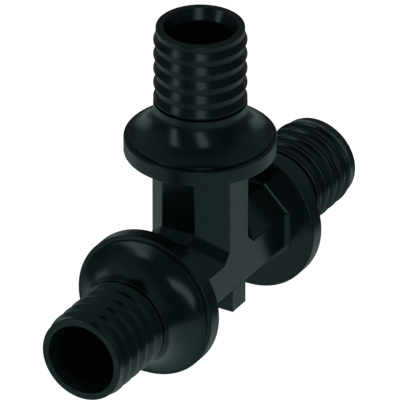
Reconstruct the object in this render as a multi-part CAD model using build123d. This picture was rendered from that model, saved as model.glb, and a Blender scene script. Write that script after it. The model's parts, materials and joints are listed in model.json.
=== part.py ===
from build123d import *
from math import sqrt, tan, radians
import os

# Tee connector with three barbed spigots, for 25 mm pipe.
# Millimetres. +Z runs up the branch, +Y along the run, and the origin is where the two axes meet.
# Along a leg, every depth is measured inwards from the leg's mouth.

# --- overall lengths, from the crossing of the axes to each mouth ---
run_half_length = 53.7
branch_length = 60.9

# --- barbs on each spigot: a taper, a narrow crest, a steep step, then a flat valley ---
crest_radius = 10.77
spigot_wall = 3.47
first_crest = 3.42
barb_count = 5
barb_pitch = 3.71
crest_land = 0.3
taper_length = 1.7
valley_drop = 0.6
step_length = 0.3

# --- mouth of each spigot ---
mouth_drop = 0.54
mouth_length = 1.6
flare_rise = 1.3
flare_depth = 2.8

# --- spigot root and shank, hidden in the collar and in the body's socket ---
undercut_drop = 0.77
undercut_step = 0.1
root_gap = 0.79
shank_wall = 1.8
shank_chamfer = 0.3
socket_length = 4.2
fit_clearance = 0.05

# --- collar ---
neck_rise = 0.03
neck_band = 1.3
neck_edge = 0.12
recess_gap = 0.2
recess_depth = 0.7
collar_height = 9.2
dome_reach = 5.7
dome_wall = 0.35
dome_edge = 0.1

# --- flange rim, moulded on the body ---
rim_ledge = 1.1
rim_thickness = 3.9
rim_edge = 0.3
rim_root_fillet = 1.4

# --- octagonal body ---
body_wall = 3.0
body_edge_radius = 0.9
gusset = 2.0
foot_length = 5.8
foot_drop = 10.0

# --- seal and its groove ---
groove_offset = 1.5
groove_width = 1.5
groove_depth = 0.95
seal_side_gap = 0.1
seal_clearance = 0.01
seal_rounding = 0.4

# --- radii that follow from the sizes above ---
bore_radius = crest_radius - spigot_wall
mouth_inner_radius = bore_radius + flare_rise
mouth_radius = crest_radius - mouth_drop
valley_radius = crest_radius - valley_drop
undercut_radius = crest_radius - undercut_drop
recess_radius = undercut_radius + recess_gap
shank_radius = bore_radius + shank_wall
socket_radius = shank_radius + fit_clearance
neck_radius = crest_radius + neck_rise
dome_radius = neck_radius + dome_reach
rim_radius = dome_radius + rim_ledge
body_flat = bore_radius + body_wall
half_face = body_flat * tan(radians(22.5))

# --- depths that follow from the sizes above ---
last_land_end = first_crest + (barb_count - 1) * barb_pitch + crest_land / 2
collar_depth = last_land_end + root_gap
shoulder_depth = collar_depth + recess_depth
rim_depth = collar_depth + collar_height
rim_back = rim_depth + rim_thickness
socket_depth = rim_depth + socket_length

LEGS = {
    "top": (branch_length, Rot(0, 0, 0)),
    "front": (run_half_length, Rot(90, 0, 0)),
    "rear": (run_half_length, Rot(-90, 0, 0)),
}


def on_leg(name, piece):
    """Put a piece drawn with its mouth at z = 0 on the named leg."""
    length, turn = LEGS[name]
    return turn * Pos(0, 0, length) * piece


def make_spigot():
    """Barbed tube with a stepped shank that carries the seal groove."""
    outside = [(mouth_inner_radius, 0), (mouth_radius, 0), (mouth_radius, -mouth_length)]
    for barb in range(barb_count):
        crest = first_crest + barb * barb_pitch
        land_start, land_end = crest - crest_land / 2, crest + crest_land / 2
        if barb:
            outside.append((valley_radius, -land_start + taper_length))
        outside.append((crest_radius, -land_start))
        outside.append((crest_radius, -land_end))
        if barb < barb_count - 1:
            outside.append((valley_radius, -land_end - step_length))
    groove_start = rim_depth + groove_offset
    groove_end = groove_start + groove_width
    flare_arc_radius = (flare_rise**2 + flare_depth**2) / (2 * flare_rise)
    outside += [
        (undercut_radius, -last_land_end - undercut_step),
        (undercut_radius, -shoulder_depth),
        (shank_radius, -shoulder_depth),
        (shank_radius, -groove_start),
        (shank_radius - groove_depth, -groove_start),
        (shank_radius - groove_depth, -groove_end),
        (shank_radius, -groove_end),
        (shank_radius, -socket_depth + shank_chamfer),
        (shank_radius - shank_chamfer, -socket_depth),
        (bore_radius, -socket_depth),
        (bore_radius, -flare_depth),
    ]
    with BuildPart() as spigot:
        with BuildSketch(Plane.XZ):
            with BuildLine():
                Polyline(*outside)
                RadiusArc((bore_radius, -flare_depth), (mouth_inner_radius, 0), flare_arc_radius)
            make_face()
        revolve(axis=Axis.Z)
    return spigot.part


def make_collar():
    """Domed ring held between the spigot's shoulder and the flange."""
    band_end = collar_depth + neck_band
    corner_depth = rim_depth - dome_wall
    drop = corner_depth - band_end
    sweep_radius = (dome_reach**2 + drop**2) / (2 * dome_reach)
    with BuildPart() as collar:
        with BuildSketch(Plane.XZ) as section:
            with BuildLine():
                RadiusArc((neck_radius, -band_end), (dome_radius, -corner_depth), -sweep_radius)
                Polyline(
                    (dome_radius, -corner_depth),
                    (dome_radius, -rim_depth),
                    (socket_radius, -rim_depth),
                    (socket_radius, -shoulder_depth),
                    (recess_radius, -shoulder_depth),
                    (recess_radius, -collar_depth),
                    (neck_radius, -collar_depth),
                    (neck_radius, -band_end),
                )
            make_face()
            dome_corner = section.vertices().sort_by_distance((dome_radius, -corner_depth))[0]
            fillet(dome_corner, dome_edge)
            top_corners = section.vertices().group_by(Axis.Y)[-1]
            fillet(top_corners, neck_edge)
        revolve(axis=Axis.Z)
    return collar.part


def make_seal():
    """Ring of rubber, in the shape it takes when squeezed into its groove."""
    inner = shank_radius - groove_depth + seal_clearance
    outer = socket_radius - seal_clearance
    width = groove_width - 2 * seal_side_gap
    middle = rim_depth + groove_offset + groove_width / 2
    with BuildPart() as seal:
        with BuildSketch(Plane.XZ):
            with Locations(((inner + outer) / 2, -middle)):
                RectangleRounded(outer - inner, width, seal_rounding)
        revolve(axis=Axis.Z)
    return seal.part


def octagonal_bar(length):
    """Eight-sided bar standing on z = 0, with flats towards X and Y."""
    with BuildPart() as bar:
        with BuildSketch():
            RegularPolygon(body_flat, 8, major_radius=False, rotation=22.5)
        extrude(amount=length)
        fillet(bar.edges().filter_by(Axis.Z), body_edge_radius)
    return bar.part


def make_gusset(side):
    """Sloping web that fills the corner between the branch and the run."""
    high = (2 * body_flat + gusset) / sqrt(2)
    low = (2 * half_face + gusset) / sqrt(2)
    outline = [
        (-body_flat, 0),
        (body_flat, 0),
        (body_flat, low),
        (half_face, high),
        (-half_face, high),
        (-body_flat, low),
    ]
    slope = Plane(origin=(0, 0, 0), x_dir=(1, 0, 0), z_dir=(0, -1, -1))
    with BuildPart() as web:
        with BuildSketch(slope):
            with BuildLine():
                Polyline(*outline, close=True)
            make_face()
        extrude(amount=gusset, both=True)
    return web.part if side < 0 else Rot(0, 0, 180) * web.part


def make_rim():
    """Flange disc, drawn with the leg's mouth at z = 0."""
    with BuildPart() as rim:
        with Locations((0, 0, -rim_back)):
            Cylinder(rim_radius, rim_thickness, align=(Align.CENTER, Align.CENTER, Align.MIN))
        fillet(rim.edges(), rim_edge)
    return rim.part


def make_body():
    """Octagonal tee with its flange rims, foot, waterways and sockets."""
    body = make_gusset(-1) + make_gusset(1)
    for name, (length, turn) in LEGS.items():
        body += turn * octagonal_bar(length - rim_back + rim_thickness / 2)
    foot_height = foot_drop - half_face
    foot = Box(2 * body_flat, foot_length, foot_height, align=(Align.CENTER, Align.CENTER, Align.MIN))
    body += Pos(0, 0, -foot_drop) * foot
    for name in LEGS:
        body += on_leg(name, make_rim())
    for name, (length, turn) in LEGS.items():
        waterway = Cylinder(bore_radius, length, align=(Align.CENTER, Align.CENTER, Align.MIN))
        socket = Cylinder(socket_radius, socket_length, align=(Align.CENTER, Align.CENTER, Align.MIN))
        body -= turn * waterway
        body -= on_leg(name, Pos(0, 0, -socket_depth) * socket)
    return body


def root_edges(body, name):
    """Edges where the back of a flange meets the octagonal bar."""
    length, turn = LEGS[name]
    back = turn * Pos(0, 0, length - rim_back) * Plane.XY
    near = []
    for edge in body.edges():
        middle = back.to_local_coords(edge.center())
        if abs(middle.Z) < 0.01 and body_flat * 0.9 < sqrt(middle.X**2 + middle.Y**2) < body_flat * 1.1:
            near.append(edge)
    return near


body = make_body()
roots = []
for name in LEGS:
    roots += root_edges(body, name)
body = fillet(roots, rim_root_fillet)

nodes = {"tee_body": body}
for name in LEGS:
    nodes[f"collar_{name}"] = on_leg(name, make_collar())
    nodes[f"spigot_{name}"] = on_leg(name, make_spigot())
    nodes[f"seal_{name}"] = on_leg(name, make_seal())

os.makedirs("parts", exist_ok=True)
for name, solid in nodes.items():
    export_step(solid, f"parts/{name}.step")
    print(name, "volume", round(solid.volume, 1), "valid", solid.is_valid)
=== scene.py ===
# %% [markdown]
# # A black plastic pipe tee
# This lesson dresses a finished mechanical model for a portrait. The model is a tee for water pipe:
# an octagonal body with three flanges, and on each flange a domed collar and a barbed spigot.
# The first cell loads the model and keeps its outer box, which sets where the legs' mouths and the floor
# lie.

# %% Load the model
import json
from math import cos, pi, radians, sin, sqrt, tan

import bmesh
import bpy
from mathutils import Matrix, Quaternion, Vector


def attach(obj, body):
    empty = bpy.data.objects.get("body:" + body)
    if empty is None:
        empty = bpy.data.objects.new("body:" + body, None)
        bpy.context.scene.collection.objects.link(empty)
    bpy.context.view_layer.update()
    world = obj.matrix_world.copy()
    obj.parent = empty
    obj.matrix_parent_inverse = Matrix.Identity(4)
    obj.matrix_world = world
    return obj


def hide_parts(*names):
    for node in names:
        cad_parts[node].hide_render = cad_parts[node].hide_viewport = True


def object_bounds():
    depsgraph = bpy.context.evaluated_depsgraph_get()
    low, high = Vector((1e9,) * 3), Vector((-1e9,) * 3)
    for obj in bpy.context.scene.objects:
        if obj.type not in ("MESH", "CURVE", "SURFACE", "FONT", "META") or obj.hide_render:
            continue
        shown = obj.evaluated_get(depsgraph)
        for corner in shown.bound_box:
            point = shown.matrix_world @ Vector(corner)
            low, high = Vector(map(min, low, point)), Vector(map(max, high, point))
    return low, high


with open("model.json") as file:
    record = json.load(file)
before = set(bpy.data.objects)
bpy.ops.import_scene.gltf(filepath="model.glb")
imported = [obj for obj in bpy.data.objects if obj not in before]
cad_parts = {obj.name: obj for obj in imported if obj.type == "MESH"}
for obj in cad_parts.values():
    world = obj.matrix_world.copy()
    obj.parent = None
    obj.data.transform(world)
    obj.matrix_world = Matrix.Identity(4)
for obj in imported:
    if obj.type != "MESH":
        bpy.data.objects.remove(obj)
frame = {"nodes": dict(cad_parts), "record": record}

MM = 0.001
cad_low, cad_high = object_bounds()
print("pieces:", ", ".join(sorted(frame["nodes"])))
print("size in mm:", [round(side / MM, 2) for side in cad_high - cad_low])

# %% [markdown]
# The camera comes first, because every later choice is judged through it. Near and far spigots
# should look equally thick, as in a drawing with parallel lines. A very long lens from four
# metres away does almost that, and unlike a flat projection it can still be walked round the
# object afterwards.

# %% Camera
CAMERA_TURN = 30.28
CAMERA_HEIGHT = 29.87
LENS = 1600
VIEW_WIDTH = 91.54 * MM
LOOK_AT = Vector((-0.09, 0, 15.19)) * MM


def direction(turn, height):
    """Unit vector that points out from the object. A turn of 0 faces -Y, and 90 faces +X."""
    turn, height = radians(turn), radians(height)
    return Vector((sin(turn) * cos(height), -cos(turn) * cos(height), sin(height)))


camera_data = bpy.data.cameras.new("camera")
camera = bpy.data.objects.new("camera", camera_data)
bpy.context.scene.collection.objects.link(camera)
bpy.context.scene.camera = camera
camera_data.lens = LENS
camera_data.clip_start = 0.1
camera_data.clip_end = 20
distance = VIEW_WIDTH * LENS / camera_data.sensor_width
toward_camera = direction(CAMERA_TURN, CAMERA_HEIGHT)
camera.location = LOOK_AT + toward_camera * distance
camera.rotation_mode = "QUATERNION"
camera.rotation_quaternion = (-toward_camera).to_track_quat("-Z", "Y")
print("camera is", round(distance, 2), "m away")

# %% [markdown]
# Node trees are easier to read as sums than as lists of nodes and links. This small class wraps
# one socket, and each arithmetic sign adds a Math node, so `1 - mask * 0.5` builds two nodes. Any
# other node comes from one method: first its type, then its settings, then its sockets.

# %% Writing node trees as expressions


def pick(sockets, name):
    """A socket by its place or name. A Mix node has several of one name, and only one is in use."""
    if isinstance(name, int):
        return sockets[name]
    return next(socket for socket in sockets if socket.name == name and socket.enabled)


class Value:
    """One output socket of a node tree, on which ordinary arithmetic works."""

    def __init__(self, tree, socket):
        self.tree = tree
        self.socket = socket

    def out(self, name):
        """Another output of the same node."""
        return Value(self.tree, pick(self.socket.node.outputs, name))

    def math(self, operation, *others):
        return add(self.tree, "ShaderNodeMath", {"operation": operation}, dict(enumerate((self, *others))))

    def __add__(self, other):
        return self.math("ADD", other)

    def __sub__(self, other):
        return self.math("SUBTRACT", other)

    def __rsub__(self, other):
        return self.math("MULTIPLY_ADD", -1, other)

    def __mul__(self, other):
        return self.math("MULTIPLY", other)

    def __truediv__(self, other):
        return self.math("DIVIDE", other)

    __radd__ = __add__
    __rmul__ = __mul__


def add(tree, kind, settings=None, sockets=None):
    """Add a node: its type, then its settings, then the values or links of its sockets."""
    node = tree.nodes.new(kind)
    for name, setting in (settings or {}).items():
        setattr(node, name, setting)
    for name, value in (sockets or {}).items():
        socket = pick(node.inputs, name)
        if isinstance(value, Value):
            tree.links.new(value.socket, socket)
        else:
            socket.default_value = value
    outputs = [socket for socket in node.outputs if socket.enabled]
    return Value(tree, outputs[0]) if outputs else None


print("arithmetic on sockets is ready")

# %% [markdown]
# Most of the tee is turned: the spigots and the collars. A lathe is a rule, so it is a Geometry
# Nodes tree. It takes an outline as a row of points, where X is the radius and Z the height, and
# wraps a grid round it. The barbs are one stretch of the outline that repeats down the spigot, so
# the tree also takes where that stretch starts, how many points it has, how many copies of it
# there are and how far apart they stand. Every copy pushes what comes after it further down.
# The nudge keeps a whole number that comes out a hair too small from being rounded down.

# %% A lathe in Geometry Nodes
LATHE_INPUTS = {
    "Outline": "NodeSocketGeometry",
    "Points": "NodeSocketInt",
    "Segments": "NodeSocketInt",
    "Repeat start": "NodeSocketInt",
    "Repeat points": "NodeSocketInt",
    "Copies": "NodeSocketInt",
    "Pitch": "NodeSocketFloat",
    "Material": "NodeSocketMaterial",
}
WELD = 0.0005 * MM
NUDGE = 0.001


def make_lathe():
    """Tree that spins an outline about Z and repeats one stretch of it."""
    tree = bpy.data.node_groups.new("lathe", "GeometryNodeTree")
    for name, kind in LATHE_INPUTS.items():
        tree.interface.new_socket(name=name, in_out="INPUT", socket_type=kind)
    tree.interface.new_socket(name="Geometry", in_out="OUTPUT", socket_type="NodeSocketGeometry")
    given = add(tree, "NodeGroupInput")
    start, stretch, copies = (given.out(name) for name in ("Repeat start", "Repeat points", "Copies"))
    rows = given.out("Points") + (copies - 1) * stretch
    columns = given.out("Segments") + 1
    size = {"Size X": 1, "Size Y": 1, "Vertices X": rows + 1, "Vertices Y": columns}
    grid = add(tree, "GeometryNodeMeshGrid", sockets=size)
    place = add(tree, "GeometryNodeInputPosition")
    flat = add(tree, "ShaderNodeSeparateXYZ", sockets={"Vector": place})
    row = ((flat.out("X") + 0.5) * rows).math("ROUND").math("MODULO", rows)
    turn = (flat.out("Y") + 0.5) * (2 * pi)
    passed = ((row - start) / stretch + NUDGE).math("FLOOR").math("MAXIMUM", 0)
    copy = passed.math("MINIMUM", copies - 1)
    sample = add(
        tree,
        "GeometryNodeSampleIndex",
        {"data_type": "FLOAT_VECTOR", "domain": "POINT"},
        {"Geometry": given.out("Outline"), "Value": place, "Index": row - copy * stretch},
    )
    point = add(tree, "ShaderNodeSeparateXYZ", sockets={"Vector": sample})
    radius = point.out("X")
    height = point.out("Z") - copy * given.out("Pitch")
    around = {"X": radius * turn.math("COSINE"), "Y": radius * turn.math("SINE"), "Z": height}
    wrapped = add(tree, "ShaderNodeCombineXYZ", sockets=around)
    skin = add(tree, "GeometryNodeSetPosition", sockets={"Geometry": grid, "Position": wrapped})
    closed = add(tree, "GeometryNodeMergeByDistance", sockets={"Geometry": skin, "Distance": WELD})
    smooth = add(tree, "GeometryNodeSetShadeSmooth", sockets={"Geometry": closed})
    real = add(tree, "GeometryNodeRealizeInstances", sockets={"Geometry": smooth})
    finish = {"Geometry": real, "Material": given.out("Material")}
    finished = add(tree, "GeometryNodeSetMaterial", sockets=finish)
    add(tree, "NodeGroupOutput", sockets={"Geometry": finished})
    return tree


lathe = make_lathe()
print("the lathe tree has", len(lathe.nodes), "nodes")

# %% [markdown]
# An outline is a list of corners, each with its radius, its depth below the mouth and how softly
# it is rounded. Moulded edges are never sharp, and the thin bright line on a rounded edge is most
# of what makes plastic look real. Each soft corner becomes a short curve with a holding point on
# both sides of it, which keeps the walls beside it looking flat.

# %% From corners to an outline
CORNER_STEPS = 5
HOLD = 0.03
ROOM = 0.42


def soft_corner(before, corner, after, size):
    """Points of a rounded corner, with a holding point before and after it."""
    back, ahead = before - corner, after - corner
    size = min(size, back.length * ROOM, ahead.length * ROOM)
    start = corner + back.normalized() * size
    end = corner + ahead.normalized() * size
    points = [start + back.normalized() * HOLD]
    for step in range(CORNER_STEPS + 1):
        part = step / CORNER_STEPS
        points.append(start * (1 - part) ** 2 + corner * (2 * part * (1 - part)) + end * part**2)
    points.append(end + ahead.normalized() * HOLD)
    return points


def trace(corners):
    """The points of a closed outline, and where the corners marked with None ended up."""
    places = [Vector((radius, -depth)) for radius, depth, size in corners]
    points, marks = [], []
    for index, (radius, depth, size) in enumerate(corners):
        if size is None:
            marks.append(len(points))
        if size:
            after = places[(index + 1) % len(places)]
            points += soft_corner(places[index - 1], places[index], after, size)
        else:
            points.append(places[index])
    return points, marks


def arc(start, end, steps):
    """Corners between two places, on an arc that leaves the first of them straight along the axis."""
    (first_radius, first_depth), (last_radius, last_depth) = start, end
    reach, drop = abs(last_radius - first_radius), abs(last_depth - first_depth)
    curve = (reach**2 + drop**2) / (2 * reach)
    corners = []
    for step in range(1, steps):
        along = drop * step / steps
        out = curve - sqrt(curve**2 - along**2)
        corners.append((first_radius + out, first_depth + (last_depth - first_depth) * step / steps, 0))
    return corners


print("a soft corner has", len(soft_corner(Vector((0, 9)), Vector((0, 0)), Vector((9, 0)), 1)), "points")

# %% [markdown]
# The three legs are alike, so each turned piece is spun once for each leg and then laid along it.
# The place goes into the mesh itself, and the object stays at the origin. A mesh can come out of
# a lathe inside out, which shows in its volume: it is negative, and the faces are turned over.

# %% Turning a piece and laying it along a leg
SEGMENTS = 160
LEGS = {
    "top": (Matrix.Identity(4), cad_high.z),
    "front": (Matrix.Rotation(pi / 2, 4, "X"), -cad_low.y),
    "rear": (Matrix.Rotation(-pi / 2, 4, "X"), cad_high.y),
}


def face_outwards(mesh):
    """Turn a closed mesh's faces outwards; returns its volume and how many edges are open."""
    shape = bmesh.new()
    shape.from_mesh(mesh)
    if shape.calc_volume(signed=True) < 0:
        bmesh.ops.reverse_faces(shape, faces=shape.faces)
    shape.to_mesh(mesh)
    volume = shape.calc_volume(signed=True)
    open_edges = sum(1 for edge in shape.edges if len(edge.link_faces) != 2)
    shape.free()
    return volume, open_edges


def turned(name, leg, corners, material, copies=1, pitch=0.0):
    """Spin an outline, lay it along the named leg and return it as a plain mesh object."""
    points, marks = trace(corners)
    first, last = marks or (0, len(points))
    line = bpy.data.meshes.new(name + "_outline")
    line.from_pydata([(point.x * MM, 0, point.y * MM) for point in points], [], [])
    blank = bpy.data.objects.new(name + "_outline", line)
    bpy.context.scene.collection.objects.link(blank)
    modifier = blank.modifiers.new("lathe", "NODES")
    modifier.node_group = lathe
    given = {
        "Points": len(points),
        "Segments": SEGMENTS,
        "Repeat start": first,
        "Repeat points": last - first,
        "Copies": copies,
        "Pitch": pitch * MM,
        "Material": material,
    }
    for item in lathe.interface.items_tree:
        if item.in_out == "INPUT" and item.name in given:
            modifier[item.identifier] = given[item.name]
    depsgraph = bpy.context.evaluated_depsgraph_get()
    mesh = bpy.data.meshes.new_from_object(blank.evaluated_get(depsgraph))
    bpy.data.objects.remove(blank)
    direction_of_leg, mouth = LEGS[leg]
    mesh.transform(direction_of_leg @ Matrix.Translation((0, 0, mouth)))
    volume, open_edges = face_outwards(mesh)
    piece = bpy.data.objects.new(name, mesh)
    bpy.context.scene.collection.objects.link(piece)
    print(f"{name}: {len(mesh.polygons)} faces, {volume / MM**3:.0f} cubic mm, {open_edges} open edges")
    return piece


# %% [markdown]
# Now the finish. The tee is moulded in a dark engineering plastic: nearly black, a little blue,
# with a satin gloss. A mould leaves its own skin on a part, a fine grain a tenth of a millimetre
# across, and slow waves where the plastic shrank as it cooled. Those are two noises that bend the
# light a little. A third one is handling: faint lighter patches that are also a little duller.
# The gloss itself is tinted blue-green, which is a choice of style and not how plastic behaves.

# %% Moulded plastic
PLASTIC = (0.0050, 0.0090, 0.0100, 1)
HANDLED = (0.0075, 0.0130, 0.0140, 1)
SHEEN = (0.66, 0.98, 1.0, 1)
BODY_GLOSS = (0.17, 0.27)
COLLAR_GLOSS = (0.15, 0.24)
SPIGOT_GLOSS = (0.20, 0.28)
WAVE_SIZE = 7.0
SKIN_SIZE = 0.14
PATCH_SIZE = 2.2
PATCH_CONTRAST = 4
PATCH_START = 1.7
PATCH_DULLING = 0.03


def start_material(name):
    """A new material: its tree, its Principled shader and the object's own coordinates."""
    material = bpy.data.materials.new(name)
    material.use_nodes = True
    tree = material.node_tree
    return material, tree, tree.nodes["Principled BSDF"], add(tree, "ShaderNodeTexCoord").out("Object")


def noise(tree, where, size, detail=2.0):
    """Noise whose blobs are about `size` millimetres across."""
    settings = {"Vector": where, "Scale": 1 / (size * MM), "Detail": detail}
    return add(tree, "ShaderNodeTexNoise", sockets=settings)


def mix_colours(tree, factor, dark, light):
    """A colour between two colours."""
    return add(tree, "ShaderNodeMix", {"data_type": "RGBA"}, {"Factor": factor, "A": dark, "B": light})


def feed(tree, shader, **inputs):
    """Link values to the shader's sockets; an underscore stands for a space."""
    for name, value in inputs.items():
        tree.links.new(value.socket, shader.inputs[name.replace("_", " ")])


def moulded(name, gloss, grain, waves=0.010):
    """Dark moulded plastic. `gloss` is the range of its roughness, `grain` and `waves` are in mm."""
    material, tree, shader, where = start_material(name)
    slow = noise(tree, where, WAVE_SIZE)
    skin = noise(tree, where, SKIN_SIZE, detail=3.0)
    handling = noise(tree, where, PATCH_SIZE, detail=4.0)
    patches = (handling * PATCH_CONTRAST - PATCH_START).math("MAXIMUM", 0).math("MINIMUM", 1)
    smooth, rough = gloss
    height = (skin * grain + slow * waves) * MM
    feed(
        tree,
        shader,
        Base_Color=mix_colours(tree, patches, PLASTIC, HANDLED),
        Roughness=slow * (rough - smooth) + patches * PATCH_DULLING + smooth,
        Normal=add(tree, "ShaderNodeBump", sockets={"Strength": 1.0, "Distance": 1.0, "Height": height}),
    )
    shader.inputs["Specular Tint"].default_value = SHEEN
    return material


body_finish = moulded("moulded_body", BODY_GLOSS, 0.0022)
collar_finish = moulded("moulded_collar", COLLAR_GLOSS, 0.0018)
spigot_finish = moulded("moulded_spigot", SPIGOT_GLOSS, 0.0016)
print("roughness of body, collars and spigots:", BODY_GLOSS, COLLAR_GLOSS, SPIGOT_GLOSS)

# %% [markdown]
# The spigot is the barbed tube that goes into the pipe. Each barb climbs in a gentle taper to a
# narrow crest, then drops in a step to a flat valley, so that a pipe slides on easily and the
# crests bite when it is pulled. The outline starts in the bore, opens in a straight flare to the
# mouth, and runs down over the barbs and the hidden shank with its seal groove. It is the outline
# of a spigot with two barbs: the lathe repeats the stretch between the two marks, and moves what
# follows down to make room. So the corners below the barbs are written that much too high.

# %% The spigot's outline
mounts = {mount["name"]: mount["dims"] for mount in frame["record"]["mounts"]}
CREST = mounts["spigot_top"]["r_mm"]
BORE = mounts["run_bore"]["r_mm"]
BARBS = 5
PITCH = 3.71
FIRST_CREST = 3.42
CREST_LAND = 0.3
TAPER = 1.7
VALLEY = CREST - 0.6
STEP = 0.3
UNDERCUT = CREST - 0.77
MOUTH = CREST - 0.54
MOUTH_INNER = BORE + 1.3
MOUTH_LENGTH = 1.6
FLARE = 2.8
SHOULDER = 19.9
SHANK = BORE + 1.8
SHANK_END = 32.6
GROOVE = (29.9, 31.4)
GROOVE_RADIUS = SHANK - 0.95
UNDERCUT_GAP = 0.1
SHANK_CHAMFER = 0.3


def barb(crest):
    """The corners of one barb. The mark halfway up its taper is where the repeat joins."""
    land_start, land_end = crest - CREST_LAND / 2, crest + CREST_LAND / 2
    return [
        (VALLEY, land_start - TAPER, 0.25),
        ((VALLEY + CREST) / 2, land_start - TAPER / 2, None),
        (CREST, land_start, 0.1),
        (CREST, land_end, 0.06),
        (VALLEY, land_end + STEP, 0.1),
    ]


root_corners = [
    (UNDERCUT, FIRST_CREST + PITCH * (BARBS - 1) + CREST_LAND / 2 + UNDERCUT_GAP, 0.03),
    (UNDERCUT, SHOULDER, 0.05),
    (SHANK, SHOULDER, 0.05),
    (SHANK, GROOVE[0], 0.05),
    (GROOVE_RADIUS, GROOVE[0], 0.1),
    (GROOVE_RADIUS, GROOVE[1], 0.1),
    (SHANK, GROOVE[1], 0.05),
    (SHANK, SHANK_END - SHANK_CHAMFER, 0.05),
    (SHANK - SHANK_CHAMFER, SHANK_END, 0.05),
    (BORE, SHANK_END, 0.05),
]
added = PITCH * (BARBS - 2)
spigot_corners = [
    (BORE, 2 * FLARE, 0),
    (BORE, FLARE, 0.4),
    (MOUTH_INNER, 0, 0.12),
    (MOUTH, 0, 0.25),
    (MOUTH, MOUTH_LENGTH, 0.25),
    *barb(FIRST_CREST)[1:],
    *barb(FIRST_CREST + PITCH)[:4],
    *((radius, depth - added, size) for radius, depth, size in root_corners),
]
print(len(spigot_corners), "corners; the lathe adds", BARBS - 2, "barbs and", round(added, 2), "mm")

# %% [markdown]
# The collar is the domed ring between the spigot and the flange: a short neck, then a hollow
# curve that sweeps out to a wide edge. The curve is one arc that leaves the neck without a bend.
# The recess at its mouth leaves the thin dark gap that is seen round the foot of the spigot.

# %% The collar's outline
NECK = 10.8
NECK_TOP = 19.2
NECK_END = 20.5
RECESS = 10.2
CLEARANCE = 0.05
COLLAR_BORE = SHANK + CLEARANCE
DOME = 16.5
DOME_CORNER = 28.05
DOME_END = 28.4

collar_corners = [
    (RECESS, NECK_TOP, 0.1),
    (NECK, NECK_TOP, 0.12),
    (NECK, NECK_END, 0),
    *arc((NECK, NECK_END), (DOME, DOME_CORNER), 30),
    (DOME, DOME_CORNER, 0.12),
    (DOME, DOME_END, 0.02),
    (COLLAR_BORE, DOME_END, 0.02),
    (COLLAR_BORE, SHOULDER, 0.05),
    (RECESS, SHOULDER, 0.1),
]

for leg in LEGS:
    spigot = turned("barbed_spigot_" + leg, leg, spigot_corners, spigot_finish, BARBS - 1, PITCH)
    collar = turned("domed_collar_" + leg, leg, collar_corners, collar_finish)
    for piece, kind in ((spigot, "spigot"), (collar, "collar")):
        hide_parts(kind + "_" + leg)
        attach(piece, "root")

# %% [markdown]
# The body and the rubber seals have the right shape already, so they stay as they are and only
# get a finish. Rubber is duller than the plastic and greyer where talc from the mould is left.

# %% Body and seals
def rubber(name):
    """Matt black rubber with a dusty bloom."""
    material, tree, shader, where = start_material(name)
    bloom = (noise(tree, where, 0.8, detail=4.0) * 2 - 0.6).math("MAXIMUM", 0)
    grain = noise(tree, where, 0.08)
    feed(
        tree,
        shader,
        Base_Color=mix_colours(tree, bloom, (0.012, 0.012, 0.013, 1), (0.05, 0.05, 0.052, 1)),
        Roughness=bloom * 0.15 + 0.6,
        Normal=add(tree, "ShaderNodeBump", sockets={"Distance": 1.0, "Height": grain * (0.01 * MM)}),
    )
    return material


seal_finish = rubber("black_rubber")
for name, node in frame["nodes"].items():
    finish = body_finish if name == "tee_body" else seal_finish if name.startswith("seal") else None
    if finish:
        node.data.materials[0] = finish
        print(name, "gets", finish.name)

# %% [markdown]
# Black plastic shows almost nothing of its own colour. What we see is the room in its gloss, so
# the room is the picture. It starts with the floor. A white floor would mirror itself in every
# underside, so this one is hidden from reflections, and the camera alone sees it white.

# %% Floor
FLOOR_SIZE = 6.0
FLOOR_GAP = 0.02 * MM
PALE = (0.80, 0.80, 0.80, 1)
PALER = (0.82, 0.82, 0.82, 1)
floor_mesh = bpy.data.meshes.new("floor")
quarters = ((-1, -1), (1, -1), (1, 1), (-1, 1))
floor_height = cad_low.z - FLOOR_GAP
corners = [(x * FLOOR_SIZE, y * FLOOR_SIZE, floor_height) for x, y in quarters]
floor_mesh.from_pydata(corners, [], [(0, 1, 2, 3)])
floor = bpy.data.objects.new("floor", floor_mesh)
bpy.context.scene.collection.objects.link(floor)
paper, tree, shader, where = start_material("pale_floor")
feed(tree, shader, Base_Color=mix_colours(tree, noise(tree, where, 40.0), PALE, PALER))
shader.inputs["Roughness"].default_value = 0.9
shader.inputs["Specular IOR Level"].default_value = 0.0
shader.inputs["Emission Color"].default_value = (1, 1, 1, 1)
shader.inputs["Emission Strength"].default_value = 1.0
floor_mesh.materials.append(paper)
floor.visible_glossy = False
floor.visible_diffuse = False
floor.visible_shadow = False
print("floor at", round(floor_height / MM, 2), "mm")

# %% [markdown]
# Two tall soft boxes draw the two bright strips on the upper barbs and the wedges on the domes
# in view. One stands just right of the camera and leans a little, the other far to the left.

# %% Soft boxes
BOX_DISTANCE = 1.5


def soft_box(name, turn, height, wide, tall, lean, brightness):
    """A rectangular light in a direction from the object, with its size and lean as angles."""
    data = bpy.data.lights.new(name, "AREA")
    data.shape = "RECTANGLE"
    data.size = 2 * BOX_DISTANCE * tan(radians(wide / 2))
    data.size_y = 2 * BOX_DISTANCE * tan(radians(tall / 2))
    data.energy = brightness * data.size * data.size_y * pi
    box = bpy.data.objects.new(name, data)
    toward = direction(turn, height)
    box.location = toward * BOX_DISTANCE
    box.rotation_mode = "QUATERNION"
    box.rotation_quaternion = toward.to_track_quat("Z", "Y") @ Quaternion((0, 0, 1), radians(lean))
    box.visible_camera = False
    bpy.context.scene.collection.objects.link(box)
    print(name, "sends", round(data.energy, 2), "W")


soft_box("soft_box_centre", CAMERA_TURN + 3, 14, 18, 50, -14, 1.2)
soft_box("soft_box_left", CAMERA_TURN - 60, 14, 15, 50, -3, 1.2)

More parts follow.
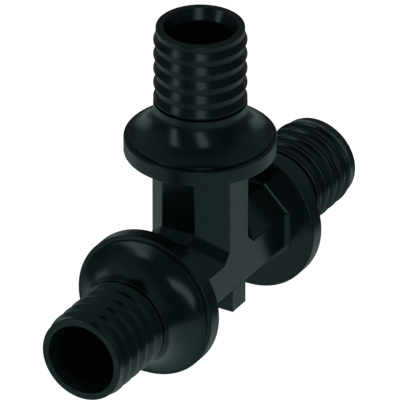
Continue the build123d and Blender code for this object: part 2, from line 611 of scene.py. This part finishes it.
# %% [markdown]
# The room itself is painted by direction, to suit this one view. Low down it is as bright as a
# lit table top, with two darker patches, and dimmer at the far side. Just under the horizon it
# falls dark, but the far wall has a bright strip at that height, which lights the shoulders of
# the collars. Overhead it is dim, and dimmer still far away and behind the camera. The step
# between the table and the dark horizon draws the crisp bands between the barbs.

# %% The dim room
TABLE_EDGE = (-0.47, -0.40)
TABLE_LIGHT = 0.47
FAR_TABLE_LIGHT = 0.26
HORIZON_LIGHT = 0.07
FAR_WALL_LIGHT = 0.28
OVERHEAD_LIGHT = 0.20
OVERHEAD_FALL = 0.12
ROOM_TINT = (0.78, 0.98, 1.0, 1)
FRONT_SHADE = Vector((-0.12, -1.0, -0.58)).normalized()
LEFT_SHADE = Vector((-0.43, 0.75, -0.5)).normalized()
AWAY = -direction(CAMERA_TURN, 0)

world = bpy.data.worlds.new("room")
bpy.context.scene.world = world
world.use_nodes = True
sky = world.node_tree
looking = add(sky, "ShaderNodeTexCoord").out("Generated")
up = add(sky, "ShaderNodeSeparateXYZ", sockets={"Vector": looking}).out("Z")


def facing(toward):
    """How much a direction in the room points along `toward`."""
    ends = {0: looking, 1: toward}
    return add(sky, "ShaderNodeVectorMath", {"operation": "DOT_PRODUCT"}, ends).out("Value")


def ramp(value, start, end):
    """0 up to `start`, 1 from `end` on, and a slope between them."""
    return ((value - start) / (end - start)).math("MAXIMUM", 0).math("MINIMUM", 1)


def patch(toward, tightness, depth):
    """Darkens by `depth` round one direction; a high tightness makes a small patch."""
    return 1 - facing(toward).math("MAXIMUM", 0).math("POWER", tightness) * depth


away = facing(AWAY)
table = TABLE_LIGHT - ramp(away, 0.55, 0.72) * (TABLE_LIGHT - FAR_TABLE_LIGHT)
table = table * patch(FRONT_SHADE, tightness=30, depth=0.5)
table = table * patch(LEFT_SHADE, tightness=8, depth=0.45)
far_wall = ramp(away, 0.55, 0.8) * ramp(up, -0.30, -0.22) * (1 - ramp(up, 0.06, 0.2))
room = HORIZON_LIGHT + far_wall * (FAR_WALL_LIGHT - HORIZON_LIGHT)
overhead = OVERHEAD_LIGHT - (ramp(away, 0.72, 0.86) + ramp(away, 0.1, -0.3)) * OVERHEAD_FALL
room = room + ramp(up, -0.05, 0.4) * (overhead - HORIZON_LIGHT)
above_table = ramp(up, *TABLE_EDGE)
room = table + above_table * (room - table)
seen = add(sky, "ShaderNodeLightPath").out("Is Camera Ray")
background = sky.nodes["Background"]
sky.links.new((room + seen * (1 - room)).socket, background.inputs["Strength"])
tint = mix_colours(sky, seen, ROOM_TINT, (1, 1, 1, 1))
sky.links.new(tint.socket, background.inputs["Color"])
bpy.context.scene.view_settings.view_transform = "Standard"
print("the room is", TABLE_LIGHT, "low down and", OVERHEAD_LIGHT, "overhead")
